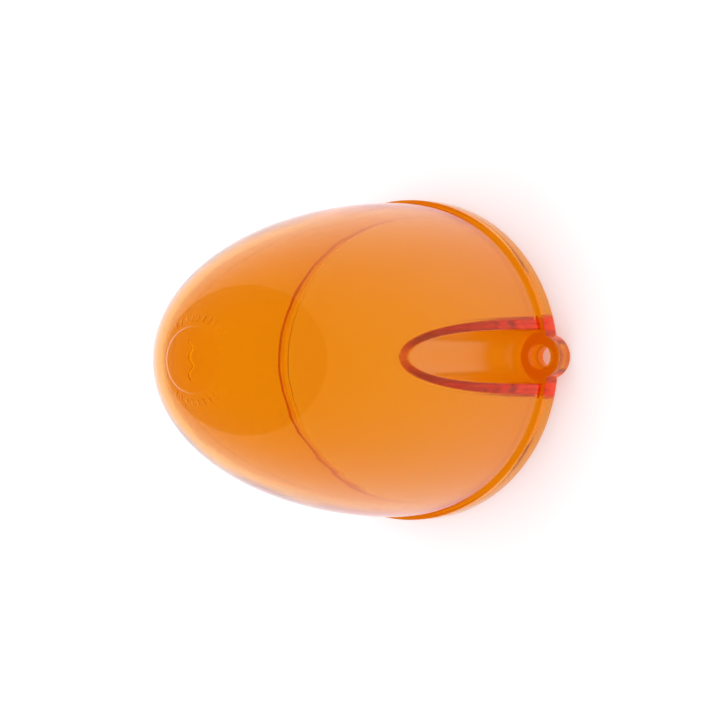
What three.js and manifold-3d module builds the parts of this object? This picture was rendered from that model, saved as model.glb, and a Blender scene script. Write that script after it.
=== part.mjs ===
// Amber replacement lens of a truck cab marker lamp, moulded in one piece.
// A bullet-shaped dome stands on a short round skirt. A screw pocket is sunk into one
// side of the dome, and a screw boss at its foot carries the lens on the lamp base.
// Units are millimetres. +Z points to the nose, z = 0 is the sealing face of the skirt,
// and the screw boss faces -Y.
import * as THREE from "three";
import { mergeVertices } from "three/addons/utils/BufferGeometryUtils.js";
import Module from "manifold-3d";

// Driving dimensions.
const WALL = 2.5;
const SKIRT_RADIUS = 40;
const SKIRT_HEIGHT = 6;
const SKIRT_BORE_RADIUS = 37.3;
const DOME_RADIUS = 39.1;
const DOME_HEIGHT = 94.2;
const NOSE_PAD_RADIUS = 7.6;
const NOSE_PAD_RISE = 0.35;
const LIP_HEIGHT = 3;
const LIP_THICKNESS = 1;
const POCKET_RADIUS = 6.5;
const POCKET_CENTRE = DOME_RADIUS;
const POCKET_FLOOR = SKIRT_HEIGHT - 0.5;
const POCKET_WALL = 3;
const BOSS_RADIUS = 5.4;
const BOSS_CENTRE = 38;
const SCREW_HOLE_RADIUS = 2.35;
const COUNTERBORE_RADIUS = 3.15;
const COUNTERBORE_FLOOR = 2.3;

// How finely the curves are divided.
const ROUND_STEPS = 64;
const ARC_STEPS = 16;
const PAD_STEPS = 3;
const CYLINDER_STEPS = 32;

// A cutting solid runs this far past the face it opens.
const OVERRUN = 1;

const wasm = await Module();
wasm.setup();

// Turns a closed three.js geometry into a manifold solid.
function toSolid(geometry) {
  geometry.deleteAttribute("normal");
  geometry.deleteAttribute("uv");
  const merged = mergeVertices(geometry, 1e-4);
  const mesh = new wasm.Mesh({
    numProp: 3,
    vertProperties: new Float32Array(merged.attributes.position.array),
    triVerts: new Uint32Array(merged.index.array),
  });
  return new wasm.Manifold(mesh);
}

// Turns a manifold solid back into a three.js geometry.
function toGeometry(solid) {
  const mesh = solid.getMesh();
  const geometry = new THREE.BufferGeometry();
  geometry.setAttribute("position", new THREE.BufferAttribute(mesh.vertProperties, 3));
  geometry.setIndex(new THREE.BufferAttribute(mesh.triVerts, 1));
  geometry.computeVertexNormals();
  return geometry;
}

// A solid turned about Z from a profile of [radius, z] points that goes from low to high.
function turned(points) {
  const profile = points.map(([radius, z]) => new THREE.Vector2(radius, z));
  const geometry = new THREE.LatheGeometry(profile, ROUND_STEPS);
  geometry.rotateX(Math.PI / 2);
  return toSolid(geometry);
}

// Points of a quarter ellipse from its foot, at the skirt's top, up to a stopping height.
function domeArc(radius, height, topZ) {
  const rise = Math.min(1, (topZ - SKIRT_HEIGHT) / height);
  const lastAngle = Math.asin(rise);
  const points = [];
  for (let i = 0; i <= ARC_STEPS; i += 1) {
    const angle = (lastAngle * i) / ARC_STEPS;
    points.push([radius * Math.cos(angle), SKIRT_HEIGHT + height * Math.sin(angle)]);
  }
  return points;
}

// An upright cylinder on the screw side of the lens, between two heights.
function uprightCylinder(radius, centre, lowZ, highZ) {
  const geometry = new THREE.CylinderGeometry(radius, radius, highZ - lowZ, CYLINDER_STEPS);
  geometry.rotateX(Math.PI / 2);
  geometry.translate(0, -centre, (lowZ + highZ) / 2);
  return toSolid(geometry);
}

// Height of the dome's outer face at a distance from its axis.
function domeFace(radius) {
  return SKIRT_HEIGHT + DOME_HEIGHT * Math.sqrt(1 - (radius / DOME_RADIUS) ** 2);
}

// The full outer form: skirt, dome and the low round pad that follows the dome at the nose.
function outerForm() {
  const pad = [];
  for (let i = PAD_STEPS; i >= 0; i -= 1) {
    const radius = (NOSE_PAD_RADIUS * i) / PAD_STEPS;
    pad.push([radius, domeFace(radius) + NOSE_PAD_RISE]);
  }
  return turned([
    [0, 0],
    [SKIRT_RADIUS, 0],
    [SKIRT_RADIUS, SKIRT_HEIGHT],
    ...domeArc(DOME_RADIUS, DOME_HEIGHT, domeFace(NOSE_PAD_RADIUS)),
    ...pad,
  ]);
}

// The hollow inside: the gasket step in the skirt and the inside of the dome.
function hollowForm() {
  const lipRadius = SKIRT_RADIUS - LIP_THICKNESS;
  const arc = domeArc(DOME_RADIUS - WALL, DOME_HEIGHT - WALL, Infinity);
  arc.pop();
  return turned([
    [0, -OVERRUN],
    [lipRadius, -OVERRUN],
    [lipRadius, LIP_HEIGHT],
    [SKIRT_BORE_RADIUS, LIP_HEIGHT],
    [SKIRT_BORE_RADIUS, SKIRT_HEIGHT],
    ...arc,
    [0, SKIRT_HEIGHT + DOME_HEIGHT - WALL],
  ]);
}

// The lens: the outer form and its boss, less the pocket, the hollow and the screw hole.
function lensGeometry() {
  const top = SKIRT_HEIGHT + DOME_HEIGHT;
  const boss = uprightCylinder(BOSS_RADIUS, BOSS_CENTRE, 0, SKIRT_HEIGHT);
  const pocket = uprightCylinder(POCKET_RADIUS, POCKET_CENTRE, POCKET_FLOOR, top);
  const pocketWall = uprightCylinder(POCKET_RADIUS + POCKET_WALL, POCKET_CENTRE, -2 * OVERRUN, top);
  const screwHole = uprightCylinder(SCREW_HOLE_RADIUS, BOSS_CENTRE, -OVERRUN, SKIRT_HEIGHT + OVERRUN);
  const counterbore = uprightCylinder(
    COUNTERBORE_RADIUS, BOSS_CENTRE, COUNTERBORE_FLOOR, SKIRT_HEIGHT + OVERRUN);
  const hollow = hollowForm().subtract(pocketWall);
  const shell = outerForm().subtract(pocket).subtract(hollow);
  return toGeometry(shell.add(boss).subtract(screwHole).subtract(counterbore));
}

const amberPlastic = new THREE.MeshStandardMaterial({ color: "#ea8a22", roughness: 0.06, metalness: 0 });
const lens = new THREE.Mesh(lensGeometry(), amberPlastic);
lens.name = "lens";

const model = new THREE.Group();
model.add(lens);

export default model;
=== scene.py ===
"""Amber marker lamp lens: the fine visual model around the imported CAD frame."""
import math

import bmesh
import bpy
from mathutils import Matrix, Vector, noise


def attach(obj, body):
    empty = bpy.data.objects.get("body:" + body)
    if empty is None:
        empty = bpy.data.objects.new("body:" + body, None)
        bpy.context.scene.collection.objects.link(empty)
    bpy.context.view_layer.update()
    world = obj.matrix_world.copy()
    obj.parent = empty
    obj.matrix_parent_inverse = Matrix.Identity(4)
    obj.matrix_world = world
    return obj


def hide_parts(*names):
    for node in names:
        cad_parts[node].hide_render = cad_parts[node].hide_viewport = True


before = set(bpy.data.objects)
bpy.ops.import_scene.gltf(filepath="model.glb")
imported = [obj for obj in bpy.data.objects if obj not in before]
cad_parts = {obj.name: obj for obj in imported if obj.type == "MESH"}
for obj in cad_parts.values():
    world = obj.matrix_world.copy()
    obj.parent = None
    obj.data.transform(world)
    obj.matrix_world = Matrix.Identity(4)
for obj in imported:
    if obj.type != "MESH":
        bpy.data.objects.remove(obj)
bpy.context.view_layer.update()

MM = 0.001

# Sizes of the lens in millimetres, as in the CAD part.
WALL = 2.5
POCKET_WALL = 3.0
SKIRT_RADIUS = 40.0
SKIRT_HEIGHT = 6.0
SKIRT_BORE_RADIUS = 37.3
DOME_RADIUS = 39.1
DOME_HEIGHT = 94.2
NOSE_PAD_RADIUS = 7.6
NOSE_PAD_RISE = 0.35
LIP_HEIGHT = 3.0
LIP_THICKNESS = 1.0
POCKET_RADIUS = 6.5
POCKET_CENTRE = DOME_RADIUS
POCKET_FLOOR = SKIRT_HEIGHT - 0.5
BOSS_RADIUS = 5.4
BOSS_CENTRE = 38.0
SCREW_HOLE_RADIUS = 2.35
COUNTERBORE_RADIUS = 3.15
COUNTERBORE_FLOOR = 2.3

# Moulded roundings, in millimetres.
EDGE_ROUND = 0.3
POCKET_MOUTH_ROUND = 0.5
POCKET_ROOT_ROUND = 1.4
PAD_EDGE = 0.35
PAD_EDGE_STRETCH = 1.5
BOSS_CHAMFER = 0.25

# Moulding waviness of the dome's inside, in millimetres. The fine waves ride on the broad ones.
WAVE_DEPTH = 0.045
WAVE_LENGTH = 16.0
WAVE_STRETCH = 0.3
WAVE_FADE = 8.0
FINE_WAVE_SHARE = 0.4
FINE_WAVE_PITCH = 2.7

# Raised dashes round the nose pad: angles from the screw side, in arcs of (first angle, count).
DASH_INNER = 8.9
DASH_OUTER = 10.4
DASH_HALF_WIDTH = 0.32
DASH_HALF_HEIGHT = 0.16
DASH_PITCH = math.radians(9.5)
DASH_ARCS = (
    (math.radians(30), 11),
    (math.radians(-128), 9),
)

# The gate mark on the nose pad, a wavy groove, in millimetres.
GATE_HALF_LENGTH = 4.6
GATE_WAVE = 0.55
GATE_WAVES = 2.2
GATE_PHASE = 0.6
GATE_BEND = 0.9
GATE_SHIFT = -0.9
GATE_HALF_WIDTH = 0.62
GATE_HALF_HEIGHT = 0.6

# How finely the curved faces are divided, and the angle each side of the pocket that its cut can reach.
POCKET_HALF_ANGLE = math.radians(17)
POCKET_REACH_MARGIN = 2.0
BISECTIONS = 40
ACROSS_COLUMNS = 36
BESIDE_COLUMNS = 14
ROUND_COLUMNS = 150
DOME_ROWS = 160
NOSE_ROWS = 26
HOLLOW_TOP_FRACTION = 0.985
CORNER_STEPS = 4
CYLINDER_STEPS = 96
DASH_STEPS = 5
GATE_STEPS = 28
RIDGE_SIDES = 12
RIDGE_END_POWER = 0.35
OVERRUN = 1.0
SMOOTH_ANGLE = math.radians(32)

# The plastic. The body takes out this much red, green and blue per metre.
FACE_TINT = (0.85, 0.575, 0.1, 1)
LIGHT_TINT = (0.87, 0.62, 0.27, 1)
BODY_TAKES = (5.0, 105.0, 800.0)
PLASTIC_IOR = 1.5
MIRROR_TINT = (1.0, 0.6, 0.1, 1)
MIRROR_LEVEL = 0.2

# Flow streaks in the faces, and the rougher pocket.
FLOW_SCALE = 70.0
FLOW_STRETCH = 0.22
FLOW_DISTORTION = 0.6
FLOW_STRENGTH = 0.35
FLOW_DEPTH = 0.15
FLOW_ROUGHNESS = 0.06
PIN_ROUGHNESS = 0.16

# The floor: half its side in metres, its gap under the skirt in millimetres.
FLOOR_HALF_SIZE = 3.0
FLOOR_GAP = 0.2
FLOOR_COLOUR = (0.8, 0.87, 0.89, 1)
FLOOR_GLOW = 0.2

# The sky's strength.
SKY_SCREW_SIDE = 0.9
SKY_FAR_SIDE = 2.5
SKY_OVERHEAD_SHARE = 0.4
SKY_MIRRORED = 0.5
SKY_THROUGH_LENS = 1.25
SKY_SEEN = 1.0

# The camera, in metres and degrees, with its lens and sensor in millimetres.
CAMERA_DISTANCE = 0.875
CAMERA_TILT = math.radians(32.26)
CAMERA_TURN = math.radians(-1.24)
CAMERA_AIM = 0.011645
LENS_LENGTH = 175.0
SENSOR_WIDTH = 36.0


def dome_height(radius, dome_radius, height):
    """Height above the skirt's top of a half ellipsoid at a distance from its axis."""
    return height * math.sqrt(max(0.0, 1 - (radius / dome_radius) ** 2))


def dome_distance(radius, z, dome_radius, height):
    """Rough signed distance to the half ellipsoid, negative inside."""
    rise = max(0.0, z - SKIRT_HEIGHT)
    level = math.hypot(radius / dome_radius, rise / height)
    slope = math.hypot(radius / dome_radius ** 2, rise / height ** 2)
    if slope < 1e-9:
        return -dome_radius
    return level * (level - 1) / slope


def rounded_cut(body, cutter, rounding):
    """Signed distance to a body less a cutter, with the edge between them rounded."""
    hole = -cutter
    reach = math.hypot(max(body + rounding, 0.0), max(hole + rounding, 0.0))
    return min(-rounding, max(body, hole)) + reach


def face_radius(angle, body_distance, body_radius, lean, cut_radius, rounding):
    """Distance from the dome's axis to its face at one angle, where the pocket's cylinder cuts it.

    The rounding shrinks where the two faces meet at a shallow angle, as a rolled fillet does.
    """
    x = body_radius * math.sin(angle)
    y = body_radius * math.cos(angle) - POCKET_CENTRE
    meeting = lean * (POCKET_CENTRE * math.cos(angle) - body_radius) / max(math.hypot(x, y), 1e-6)
    fillet = rounding * max(0.05, 1 - max(0.0, meeting))

    def outside(radius):
        x = radius * math.sin(angle)
        y = radius * math.cos(angle) - POCKET_CENTRE
        return rounded_cut(body_distance(radius), math.hypot(x, y) - cut_radius, fillet)

    low, high = 0.0, body_radius + 1
    for _ in range(BISECTIONS):
        middle = (low + high) / 2
        if outside(middle) > 0:
            high = middle
        else:
            low = middle
    return (low + high) / 2


def columns(cut_radius):
    """Angles round the axis, measured from -Y, close together where the pocket's sides stand."""
    side = math.asin(cut_radius / POCKET_CENTRE)
    half = [side * math.sin(math.pi / 2 * i / ACROSS_COLUMNS) for i in range(1, ACROSS_COLUMNS + 1)]
    for i in range(1, BESIDE_COLUMNS + 1):
        half.append(side + (POCKET_HALF_ANGLE - side) * (i / BESIDE_COLUMNS) ** 2)
    angles = [-angle for angle in reversed(half)] + [0.0] + half
    rest = 2 * math.pi - 2 * POCKET_HALF_ANGLE
    for i in range(1, ROUND_COLUMNS):
        angles.append(POCKET_HALF_ANGLE + rest * i / ROUND_COLUMNS)
    return angles


def signed(angle):
    """The same angle between minus half a turn and half a turn."""
    return (angle + math.pi) % (2 * math.pi) - math.pi


def grid_solid(name, rows, apex_z, foot_z):
    """A closed mesh of rings, from the foot up to a point on the axis. A row is a list of (x, y, z) in mm."""
    bm = bmesh.new()
    rings = [[bm.verts.new(Vector(p) * MM) for p in row] for row in rows]
    foot = bm.verts.new((0, 0, foot_z * MM))
    apex = bm.verts.new((0, 0, apex_z * MM))
    count = len(rings[0])
    for i in range(count):
        j = (i + 1) % count
        bm.faces.new((foot, rings[0][j], rings[0][i]))
        for lower, upper in zip(rings, rings[1:]):
            bm.faces.new((lower[i], lower[j], upper[j], upper[i]))
        bm.faces.new((apex, rings[-1][i], rings[-1][j]))
    return mesh_object(name, bm)


def mesh_object(name, bm):
    """A new object from a bmesh, with its faces turned outward."""
    bmesh.ops.triangulate(bm, faces=bm.faces[:])
    bmesh.ops.recalc_face_normals(bm, faces=bm.faces[:])
    mesh = bpy.data.meshes.new(name)
    bm.to_mesh(mesh)
    bm.free()
    piece = bpy.data.objects.new(name, mesh)
    bpy.context.scene.collection.objects.link(piece)
    return piece


def ring(angles, radii, z):
    """Points of one level row, with a radius for each angle."""
    return [(r * math.sin(a), -r * math.cos(a), z) for a, r in zip(angles, radii)]


def waviness(angle, radius, z):
    """How far the moulded inside stands off its true form at one place, in mm, in streaks up the dome."""
    fade = min(1.0, (z - SKIRT_HEIGHT) / WAVE_FADE)
    broad = Vector((radius * math.sin(angle), -radius * math.cos(angle), z * WAVE_STRETCH)) / WAVE_LENGTH
    fine = FINE_WAVE_SHARE * noise.noise(broad * FINE_WAVE_PITCH)
    return WAVE_DEPTH * fade * (noise.noise(broad) + fine)


def dome_rows(angles, dome_radius, height, cut_radius, rounding, top_fraction, wavy=False):
    """Rows of a dome's face from the skirt's top up to a fraction of its quarter turn."""
    rows = []
    reach = POCKET_CENTRE - cut_radius - POCKET_REACH_MARGIN
    for i in range(DOME_ROWS + 1):
        turn = math.pi / 2 * top_fraction * i / DOME_ROWS
        z = SKIRT_HEIGHT + height * math.sin(turn)
        plain = dome_radius * math.cos(turn)
        lean = math.cos(math.atan2(dome_radius * math.sin(turn), height * math.cos(turn)))

        def distance(radius, level=z):
            return dome_distance(radius, level, dome_radius, height)

        radii = []
        for angle in angles:
            if abs(signed(angle)) < POCKET_HALF_ANGLE and plain > reach:
                radii.append(face_radius(signed(angle), distance, plain, lean, cut_radius, rounding))
            else:
                radii.append(plain)
        if wavy:
            radii = [r - waviness(a, r, z) for a, r in zip(angles, radii)]
        rows.append(ring(angles, radii, z))
    return rows


def straight_radii(angles, body_radius, cut_radius, rounding):
    """Radii of a round wall that the pocket's cylinder cuts."""
    radii = []
    for angle in angles:
        if abs(signed(angle)) < POCKET_HALF_ANGLE:
            radii.append(face_radius(
                signed(angle), lambda r: r - body_radius, body_radius, 1.0, cut_radius, rounding))
        else:
            radii.append(body_radius)
    return radii


def outer_solid():
    """The lens's outer form: rounded skirt, dome with the pocket's mouth, and the pad on the nose."""
    angles = columns(POCKET_RADIUS)
    rows = [ring(angles, [radius] * len(angles), z) for radius, z in skirt_profile()]
    pad_foot = NOSE_PAD_RADIUS + PAD_EDGE
    pad_turn = math.acos(pad_foot / DOME_RADIUS) / (math.pi / 2)
    rows += dome_rows(angles, DOME_RADIUS, DOME_HEIGHT, POCKET_RADIUS, POCKET_MOUTH_ROUND, pad_turn)
    for i in range(1, NOSE_ROWS + 1):
        radius = pad_foot * (1 - i / (NOSE_ROWS + 1))
        step = min(1.0, max(0.0, (pad_foot - radius) / PAD_EDGE / PAD_EDGE_STRETCH))
        rise = NOSE_PAD_RISE * step * step * (3 - 2 * step)
        z = SKIRT_HEIGHT + dome_height(radius, DOME_RADIUS, DOME_HEIGHT) + rise
        rows.append(ring(angles, [radius] * len(angles), z))
    top = SKIRT_HEIGHT + DOME_HEIGHT + NOSE_PAD_RISE
    return grid_solid("outer form", rows, top, 0.0)


def skirt_profile():
    """The skirt's outside from its foot to the ledge round the dome, with rounded edges."""
    turns = [math.pi / 2 * i / CORNER_STEPS for i in range(CORNER_STEPS + 1)]
    foot = [(
        SKIRT_RADIUS - EDGE_ROUND * (1 - math.sin(turn)),
        EDGE_ROUND * (1 - math.cos(turn))) for turn in turns]
    ledge = [(
        SKIRT_RADIUS - EDGE_ROUND * (1 - math.cos(turn)),
        SKIRT_HEIGHT - EDGE_ROUND * (1 - math.sin(turn))) for turn in turns]
    return foot + ledge


def hollow_solid():
    """The hollow inside: gasket step, bore and the inside of the dome, less the pocket's wall."""
    wall_cut = POCKET_RADIUS + POCKET_WALL
    angles = columns(wall_cut)
    lip = straight_radii(angles, SKIRT_RADIUS - LIP_THICKNESS, wall_cut, POCKET_ROOT_ROUND)
    bore = straight_radii(angles, SKIRT_BORE_RADIUS, wall_cut, POCKET_ROOT_ROUND)
    rows = [ring(angles, lip, -OVERRUN), ring(angles, lip, LIP_HEIGHT)]
    rows.append(ring(angles, bore, LIP_HEIGHT))
    rows.append(ring(angles, bore, SKIRT_HEIGHT - EDGE_ROUND))
    inner_height = DOME_HEIGHT - WALL
    rows += dome_rows(
        angles, DOME_RADIUS - WALL, inner_height, wall_cut, POCKET_ROOT_ROUND,
        HOLLOW_TOP_FRACTION, wavy=True)
    return grid_solid("hollow", rows, SKIRT_HEIGHT + inner_height, -OVERRUN)


def cylinder(name, radius, centre, low, high, chamfer=0.0):
    """An upright cylinder on the screw side, with a chamfer on both ends if one is given."""
    profile = [(radius - chamfer, low), (radius - chamfer, high)]
    if chamfer:
        profile[1:1] = [(radius, low + chamfer), (radius, high - chamfer)]
    rows = []
    for ring_radius, z in profile:
        row = []
        for i in range(CYLINDER_STEPS):
            angle = 2 * math.pi * i / CYLINDER_STEPS
            row.append((ring_radius * math.cos(angle), ring_radius * math.sin(angle), z))
        rows.append(row)
    piece = grid_solid(name, rows, high, low)
    piece.data.transform(Matrix.Translation((0, -centre * MM, 0)))
    return piece


def combine(body, tool, operation):
    """Joins a tool to the body or cuts it away, and deletes the tool."""
    change = body.modifiers.new("combine", "BOOLEAN")
    change.operation = operation
    change.object = tool
    change.solver = "MANIFOLD"
    graph = bpy.context.evaluated_depsgraph_get()
    mesh = bpy.data.meshes.new_from_object(body.evaluated_get(graph))
    body.modifiers.clear()
    old = body.data
    body.data = mesh
    bpy.data.meshes.remove(old)
    bpy.data.objects.remove(tool)


def dome_point(radius, angle, lift=0.0):
    """A point on the dome's outer face near the nose, lifted by a small height, in mm."""
    z = SKIRT_HEIGHT + dome_height(radius, DOME_RADIUS, DOME_HEIGHT) + lift
    return Vector((radius * math.sin(angle), -radius * math.cos(angle), z))


def add_ridge(bm, points, half_width, half_height):
    """A low rounded ridge along points that lie on the dome, its lower half sunk into the face."""
    rings = []
    count = len(points)
    for i, point in enumerate(points):
        ahead = points[min(i + 1, count - 1)] - points[max(i - 1, 0)]
        ahead.normalize()
        out = Vector((point.x / DOME_RADIUS ** 2, point.y / DOME_RADIUS ** 2,
                      (point.z - SKIRT_HEIGHT) / DOME_HEIGHT ** 2)).normalized()
        side = ahead.cross(out).normalized()
        reach = math.sin(math.pi * (i + 0.5) / count) ** RIDGE_END_POWER
        row = []
        for k in range(RIDGE_SIDES):
            turn = 2 * math.pi * k / RIDGE_SIDES
            offset = side * math.cos(turn) * half_width + out * math.sin(turn) * half_height
            row.append(bm.verts.new((point + offset * reach) * MM))
        rings.append(row)
    for lower, upper in zip(rings, rings[1:]):
        for k in range(RIDGE_SIDES):
            j = (k + 1) % RIDGE_SIDES
            bm.faces.new((lower[k], lower[j], upper[j], upper[k]))
    bm.faces.new(rings[0][::-1])
    bm.faces.new(rings[-1])


def dash_ring():
    """Two arcs of plain raised dashes round the nose pad, in place of moulded lettering."""
    bm = bmesh.new()
    for start, count in DASH_ARCS:
        for i in range(count):
            angle = start + i * DASH_PITCH
            points = []
            for k in range(DASH_STEPS):
                radius = DASH_INNER + (DASH_OUTER - DASH_INNER) * k / (DASH_STEPS - 1)
                points.append(dome_point(radius, angle))
            add_ridge(bm, points, DASH_HALF_WIDTH, DASH_HALF_HEIGHT)
    return mesh_object("dashes", bm)


def gate_scar():
    """The wavy groove that the mould's feed point leaves on the nose pad."""
    scar = []
    for i in range(GATE_STEPS + 1):
        along = -1 + 2 * i / GATE_STEPS
        x = GATE_HALF_LENGTH * along
        wave = GATE_WAVE * math.sin(GATE_WAVES * math.pi * along + GATE_PHASE)
        y = wave + GATE_BEND * along * along + GATE_SHIFT
        scar.append(dome_point(math.hypot(x, y), math.atan2(x, -y), NOSE_PAD_RISE))
    bm = bmesh.new()
    add_ridge(bm, scar, GATE_HALF_WIDTH, GATE_HALF_HEIGHT)
    return mesh_object("scar", bm)


def set_inputs(node, values):
    """Sets a node's inputs by name or number."""
    for key, value in values.items():
        node.inputs[key].default_value = value


def map_range(nodes, values, smooth=False):
    """A Map Range node: from low, from high, to low, to high."""
    node = nodes.new("ShaderNodeMapRange")
    if smooth:
        node.interpolation_type = "SMOOTHSTEP"
    set_inputs(node, dict(zip(("From Min", "From Max", "To Min", "To Max"), values)))
    return node


def math_node(nodes, links, operation, first, second):
    """A Math node on two sockets."""
    node = nodes.new("ShaderNodeMath")
    node.operation = operation
    links.new(first, node.inputs[0])
    links.new(second, node.inputs[1])
    return node.outputs["Value"]


def choose(nodes, links, factor, off, on):
    """A float Mix node. Its two ends are each a socket or a plain number."""
    node = nodes.new("ShaderNodeMix")
    node.data_type = "FLOAT"
    links.new(factor, node.inputs[0])
    for place, end in ((2, off), (3, on)):
        if isinstance(end, float):
            node.inputs[place].default_value = end
        else:
            links.new(end, node.inputs[place])
    return node.outputs[0]


def amber_material():
    """Clear amber polycarbonate: part of the colour is the face's tint, part is taken out by the body."""
    material = bpy.data.materials.new("amber polycarbonate")
    material.use_nodes = True
    nodes, links = material.node_tree.nodes, material.node_tree.links
    shader = nodes["Principled BSDF"]
    output = nodes["Material Output"]
    set_inputs(shader, {
        "Base Color": FACE_TINT,
        "Transmission Weight": 1.0,
        "IOR": PLASTIC_IOR,
        "Specular Tint": MIRROR_TINT,
        "Specular IOR Level": MIRROR_LEVEL,
    })
    body = nodes.new("ShaderNodeVolumeAbsorption")
    density = max(BODY_TAKES)
    set_inputs(body, {
        "Density": density,
        "Color": tuple(1 - taken / density for taken in BODY_TAKES) + (1.0,),
    })
    links.new(body.outputs["Volume"], output.inputs["Volume"])

    # Light on its way to the floor goes straight through the faces, tinted, so that the floor isn't noisy.
    rays = nodes.new("ShaderNodeLightPath")
    clear = nodes.new("ShaderNodeBsdfTransparent")
    set_inputs(clear, {"Color": LIGHT_TINT})
    choice = nodes.new("ShaderNodeMixShader")
    lighting = math_node(
        nodes, links, "MAXIMUM", rays.outputs["Is Shadow Ray"], rays.outputs["Is Diffuse Ray"])
    links.new(lighting, choice.inputs["Fac"])
    links.new(shader.outputs["BSDF"], choice.inputs[1])
    links.new(clear.outputs["BSDF"], choice.inputs[2])
    links.new(choice.outputs["Shader"], output.inputs["Surface"])

    # Flow marks of the moulding: faint streaks that run up the dome, and a polish that varies a little.
    place = nodes.new("ShaderNodeTexCoord")
    stretch = nodes.new("ShaderNodeMapping")
    set_inputs(stretch, {"Scale": (1.0, 1.0, FLOW_STRETCH)})
    links.new(place.outputs["Object"], stretch.inputs["Vector"])
    flow = nodes.new("ShaderNodeTexNoise")
    set_inputs(flow, {"Scale": FLOW_SCALE, "Detail": 2.0, "Distortion": FLOW_DISTORTION})
    links.new(stretch.outputs["Vector"], flow.inputs["Vector"])
    bump = nodes.new("ShaderNodeBump")
    set_inputs(bump, {"Strength": FLOW_STRENGTH, "Distance": FLOW_DEPTH * MM})
    links.new(flow.outputs["Fac"], bump.inputs["Height"])
    links.new(bump.outputs["Normal"], shader.inputs["Normal"])
    polish = map_range(nodes, (0.35, 0.75, 0.0, FLOW_ROUGHNESS))
    links.new(flow.outputs["Fac"], polish.inputs["Value"])

    # The pocket comes off a core pin that is less polished than the rest of the mould.
    upright = nodes.new("ShaderNodeVectorMath")
    upright.operation = "MULTIPLY_ADD"
    set_inputs(upright, {1: (1.0, 1.0, 0.0), 2: (0.0, POCKET_CENTRE * MM, 0.0)})
    links.new(place.outputs["Object"], upright.inputs[0])
    away = nodes.new("ShaderNodeVectorMath")
    away.operation = "LENGTH"
    links.new(upright.outputs["Vector"], away.inputs[0])
    near, far = (POCKET_RADIUS + 0.5) * MM, (POCKET_RADIUS + POCKET_WALL + 1.0) * MM
    pin = map_range(nodes, (near, far, PIN_ROUGHNESS, 0.0), smooth=True)
    links.new(away.outputs["Value"], pin.inputs["Value"])
    rough = math_node(nodes, links, "ADD", polish.outputs["Result"], pin.outputs["Result"])
    links.new(rough, shader.inputs["Roughness"])
    return material


def lens_piece():
    """The lens as one solid: outer form less hollow, plus the boss, less the screw hole."""
    lens = outer_solid()
    lens.name = "fine_lens"
    combine(lens, hollow_solid(), "DIFFERENCE")
    above = SKIRT_HEIGHT + OVERRUN
    groove = cylinder("pocket floor", POCKET_RADIUS, POCKET_CENTRE, POCKET_FLOOR, above)
    combine(lens, groove, "DIFFERENCE")
    boss = cylinder("boss", BOSS_RADIUS, BOSS_CENTRE, 0, SKIRT_HEIGHT, BOSS_CHAMFER)
    combine(lens, boss, "UNION")
    hole = cylinder("hole", SCREW_HOLE_RADIUS, BOSS_CENTRE, -OVERRUN, above)
    combine(lens, hole, "DIFFERENCE")
    counterbore = cylinder("counterbore", COUNTERBORE_RADIUS, BOSS_CENTRE, COUNTERBORE_FLOOR, above)
    combine(lens, counterbore, "DIFFERENCE")
    combine(lens, dash_ring(), "UNION")
    combine(lens, gate_scar(), "DIFFERENCE")
    lens.data.materials.clear()
    lens.data.materials.append(amber_material())
    return lens


def smooth(piece):
    """Smooth shading that keeps the sharp moulded edges."""
    bpy.context.view_layer.objects.active = piece
    piece.select_set(True)
    bpy.ops.object.shade_smooth_by_angle(angle=SMOOTH_ANGLE)


def floor_piece():
    """A plain pale floor just under the skirt, with a faint glow of its own."""
    bm = bmesh.new()
    bmesh.ops.create_grid(bm, x_segments=1, y_segments=1, size=FLOOR_HALF_SIZE)
    bmesh.ops.translate(bm, verts=bm.verts[:], vec=(0, 0, -FLOOR_GAP * MM))
    floor = mesh_object("floor", bm)
    material = bpy.data.materials.new("pale floor")
    material.use_nodes = True
    set_inputs(material.node_tree.nodes["Principled BSDF"], {
        "Base Color": FLOOR_COLOUR,
        "Roughness": 0.9,
        "Specular IOR Level": 0.0,
        "Emission Color": (1, 1, 1, 1),
        "Emission Strength": FLOOR_GLOW,
    })
    floor.data.materials.append(material)
    return floor


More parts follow.
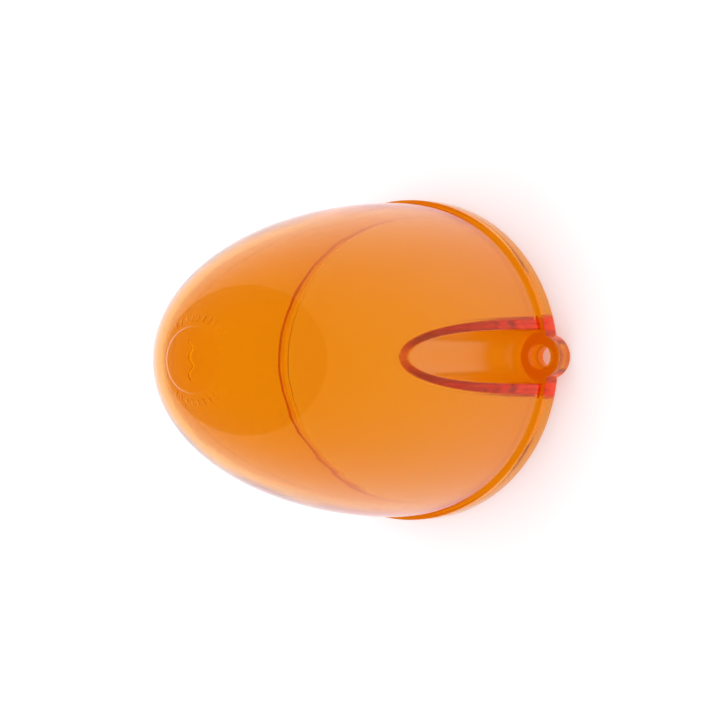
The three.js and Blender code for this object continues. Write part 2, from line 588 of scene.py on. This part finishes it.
def camera():
    """The camera looks down on the screw side of the dome and lies on its side, so that +X is up."""
    sine, cosine = math.sin(CAMERA_TILT), math.cos(CAMERA_TILT)
    right = Vector((0, -cosine, -sine))
    up = Vector((1, 0, 0))
    back = Vector((0, -sine, cosine))
    aim = -right * CAMERA_AIM + Vector((0, 0, SKIRT_HEIGHT * MM))
    place = Matrix((right, up, back)).transposed().to_4x4()
    place.translation = aim + back * CAMERA_DISTANCE
    data = bpy.data.cameras.new("camera")
    data.lens = LENS_LENGTH
    data.sensor_width = SENSOR_WIDTH
    data.clip_end = 10.0
    holder = bpy.data.objects.new("camera", data)
    holder.matrix_world = Matrix.Rotation(CAMERA_TURN, 4, "Z") @ place
    bpy.context.scene.collection.objects.link(holder)
    bpy.context.scene.camera = holder


def sky():
    """Soft studio light, weaker from the screw side and from overhead.

    Mirrored rays, rays through the lens and camera rays each see a plain level of their own.
    """
    world = bpy.data.worlds.new("studio")
    bpy.context.scene.world = world
    world.use_nodes = True
    nodes, links = world.node_tree.nodes, world.node_tree.links
    background = nodes["Background"]
    set_inputs(background, {"Color": (1, 1, 1, 1)})
    place = nodes.new("ShaderNodeTexCoord")
    split = nodes.new("ShaderNodeSeparateXYZ")
    links.new(place.outputs["Generated"], split.inputs[0])
    fade = map_range(nodes, (-0.25, 0.05, SKY_SCREW_SIDE, SKY_FAR_SIDE), smooth=True)
    links.new(split.outputs["Y"], fade.inputs["Value"])
    zenith = map_range(nodes, (0.6, 0.85, 1.0, SKY_OVERHEAD_SHARE), smooth=True)
    links.new(split.outputs["Z"], zenith.inputs["Value"])
    lighting = math_node(nodes, links, "MULTIPLY", fade.outputs["Result"], zenith.outputs["Result"])
    rays = nodes.new("ShaderNodeLightPath").outputs
    traced = choose(nodes, links, rays["Is Transmission Ray"], SKY_MIRRORED, SKY_THROUGH_LENS)
    level = choose(nodes, links, rays["Is Glossy Ray"], lighting, traced)
    level = choose(nodes, links, rays["Is Camera Ray"], level, SKY_SEEN)
    links.new(level, background.inputs["Strength"])


def picture():
    """How the light is carried and shown. Light that runs along the pocket's wall bounces many times."""
    scene = bpy.context.scene
    scene.view_settings.view_transform = "Standard"
    scene.cycles.max_bounces = 96
    scene.cycles.transmission_bounces = 96
    scene.cycles.glossy_bounces = 64
    scene.cycles.transparent_max_bounces = 32


camera()
sky()
picture()
lens = lens_piece()
smooth(lens)
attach(lens, "root")
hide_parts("lens")
floor_piece()
